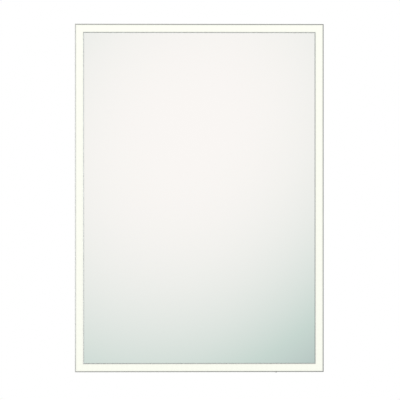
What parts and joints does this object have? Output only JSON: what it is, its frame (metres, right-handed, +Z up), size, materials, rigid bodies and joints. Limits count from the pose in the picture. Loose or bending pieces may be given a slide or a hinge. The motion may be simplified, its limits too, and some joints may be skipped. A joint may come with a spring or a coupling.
{
  "type": "lighted bathroom mirror",
  "caption": "Portrait bathroom mirror in a slim aluminium frame with a lit opal band all round, hung on a wall rail, with a rocker switch underneath.",
  "frame": {"origin": "on the wall plane, midway between the two outer screw holes of the wall rail", "axes": "+Z up, +Y into the wall, +X to the right for a person who looks into the mirror"},
  "size_m": [0.5, 0.045, 0.7038],
  "materials": {
    "anodised_aluminium": "satin anodised, brushed along the length",
    "cast_alloy": "die-cast, matt",
    "opal_acrylic": "opal diffuser, lit from behind",
    "strip_board": "white solder mask",
    "led_package": "phosphor over a white package",
    "mirror_silver": "polished float glass, silvered",
    "backing_paint": "grey paint and safety film",
    "foam_tape": "closed-cell foam tape",
    "galvanised_steel": "zinc-coated sheet",
    "zinc_screw": "bright zinc",
    "black_screw": "black oxide",
    "rivet_aluminium": "bright",
    "white_moulding": "fine texture",
    "grey_moulding": "fine texture",
    "natural_nylon": "natural polyamide",
    "black_moulding": "satin",
    "black_rocker": "polished",
    "black_rubber": "matt",
    "brass": "tarnished",
    "spring_steel": "bright wire",
    "circuit_board": "green solder mask",
    "circuit_parts": "sleeved capacitors and a wound core",
    "white_sheath": "flexible PVC",
    "earth_sheath": "green with a yellow stripe"
  },
  "bodies": {
    "wall_rail": {"wall_rail": "galvanised_steel"},
    "mirror": {"frame_top_profile": "anodised_aluminium", "frame_right_profile": "anodised_aluminium", "frame_bottom_profile": "anodised_aluminium", "frame_left_profile": "anodised_aluminium", "corner_key_top_right": "cast_alloy", "corner_key_bottom_right": "cast_alloy", "corner_key_bottom_left": "cast_alloy", "corner_key_top_left": "cast_alloy", "corner_key_grub_screws": "black_screw", "opal_cover_top": "opal_acrylic", "opal_cover_right": "opal_acrylic", "opal_cover_bottom": "opal_acrylic", "opal_cover_left": "opal_acrylic", "led_board_top": "strip_board", "led_board_right": "strip_board", "led_board_bottom": "strip_board", "led_board_left": "strip_board", "led_chips": "led_package", "led_corner_links": "white_sheath", "mirror_glass": "mirror_silver", "mirror_backing_film": "backing_paint", "mounting_tape_top": "foam_tape", "mounting_tape_right": "foam_tape", "mounting_tape_bottom": "foam_tape", "mounting_tape_left": "foam_tape", "rear_panel": "galvanised_steel", "rear_panel_screws": "zinc_screw", "hook_rail": "galvanised_steel", "hook_rivets": "rivet_aluminium", "wall_spacer_right": "grey_moulding", "wall_spacer_left": "grey_moulding", "wall_spacer_pads": "black_rubber", "wall_spacer_screws": "zinc_screw", "terminal_box_base": "white_moulding", "terminal_box_lid": "white_moulding", "terminal_box_screws": "zinc_screw", "cord_clamp_bar": "white_moulding", "supply_inlet_grommet": "black_rubber", "lead_outlet_grommet": "black_rubber", "terminal_block": "natural_nylon", "terminal_inserts": "brass", "terminal_screws": "zinc_screw", "earth_stud_and_nuts": "brass", "driver_case": "white_moulding", "driver_lid": "white_moulding", "driver_screws": "zinc_screw", "driver_circuit_board": "circuit_board", "driver_components": "circuit_parts", "supply_lead": "white_sheath", "switch_lead": "white_sheath", "lamp_lead": "white_sheath", "earth_lead": "earth_sheath", "lead_clips": "natural_nylon", "switch_housing": "black_moulding", "switch_terminal_tabs": "brass"},
    "rocker": {"switch_rocker": "black_rocker", "switch_plunger": "natural_nylon", "switch_spring": "spring_steel"},
    "contact_lever": {"switch_contact_lever": "brass"}
  },
  "joints": [
    {"name": "lift_off", "type": "slide", "parent": "wall_rail", "child": "mirror", "axis": [0, 0, 1], "range_m": [0, 0.014]},
    {"name": "switch_rock", "type": "hinge", "parent": "mirror", "child": "rocker", "pos_m": [0.15, -0.02475, -0.6174], "axis": [0, 1, 0], "range_deg": [-18, 0]},
    {"name": "lever_swing", "type": "hinge", "parent": "mirror", "child": "contact_lever", "pos_m": [0.15, -0.02475, -0.61015], "axis": [0, 1, 0], "range_deg": [0, 12]}
  ],
  "couplings": [
    {"joint": "lever_swing", "follows": "switch_rock", "ratio": -0.6666}
  ]
}
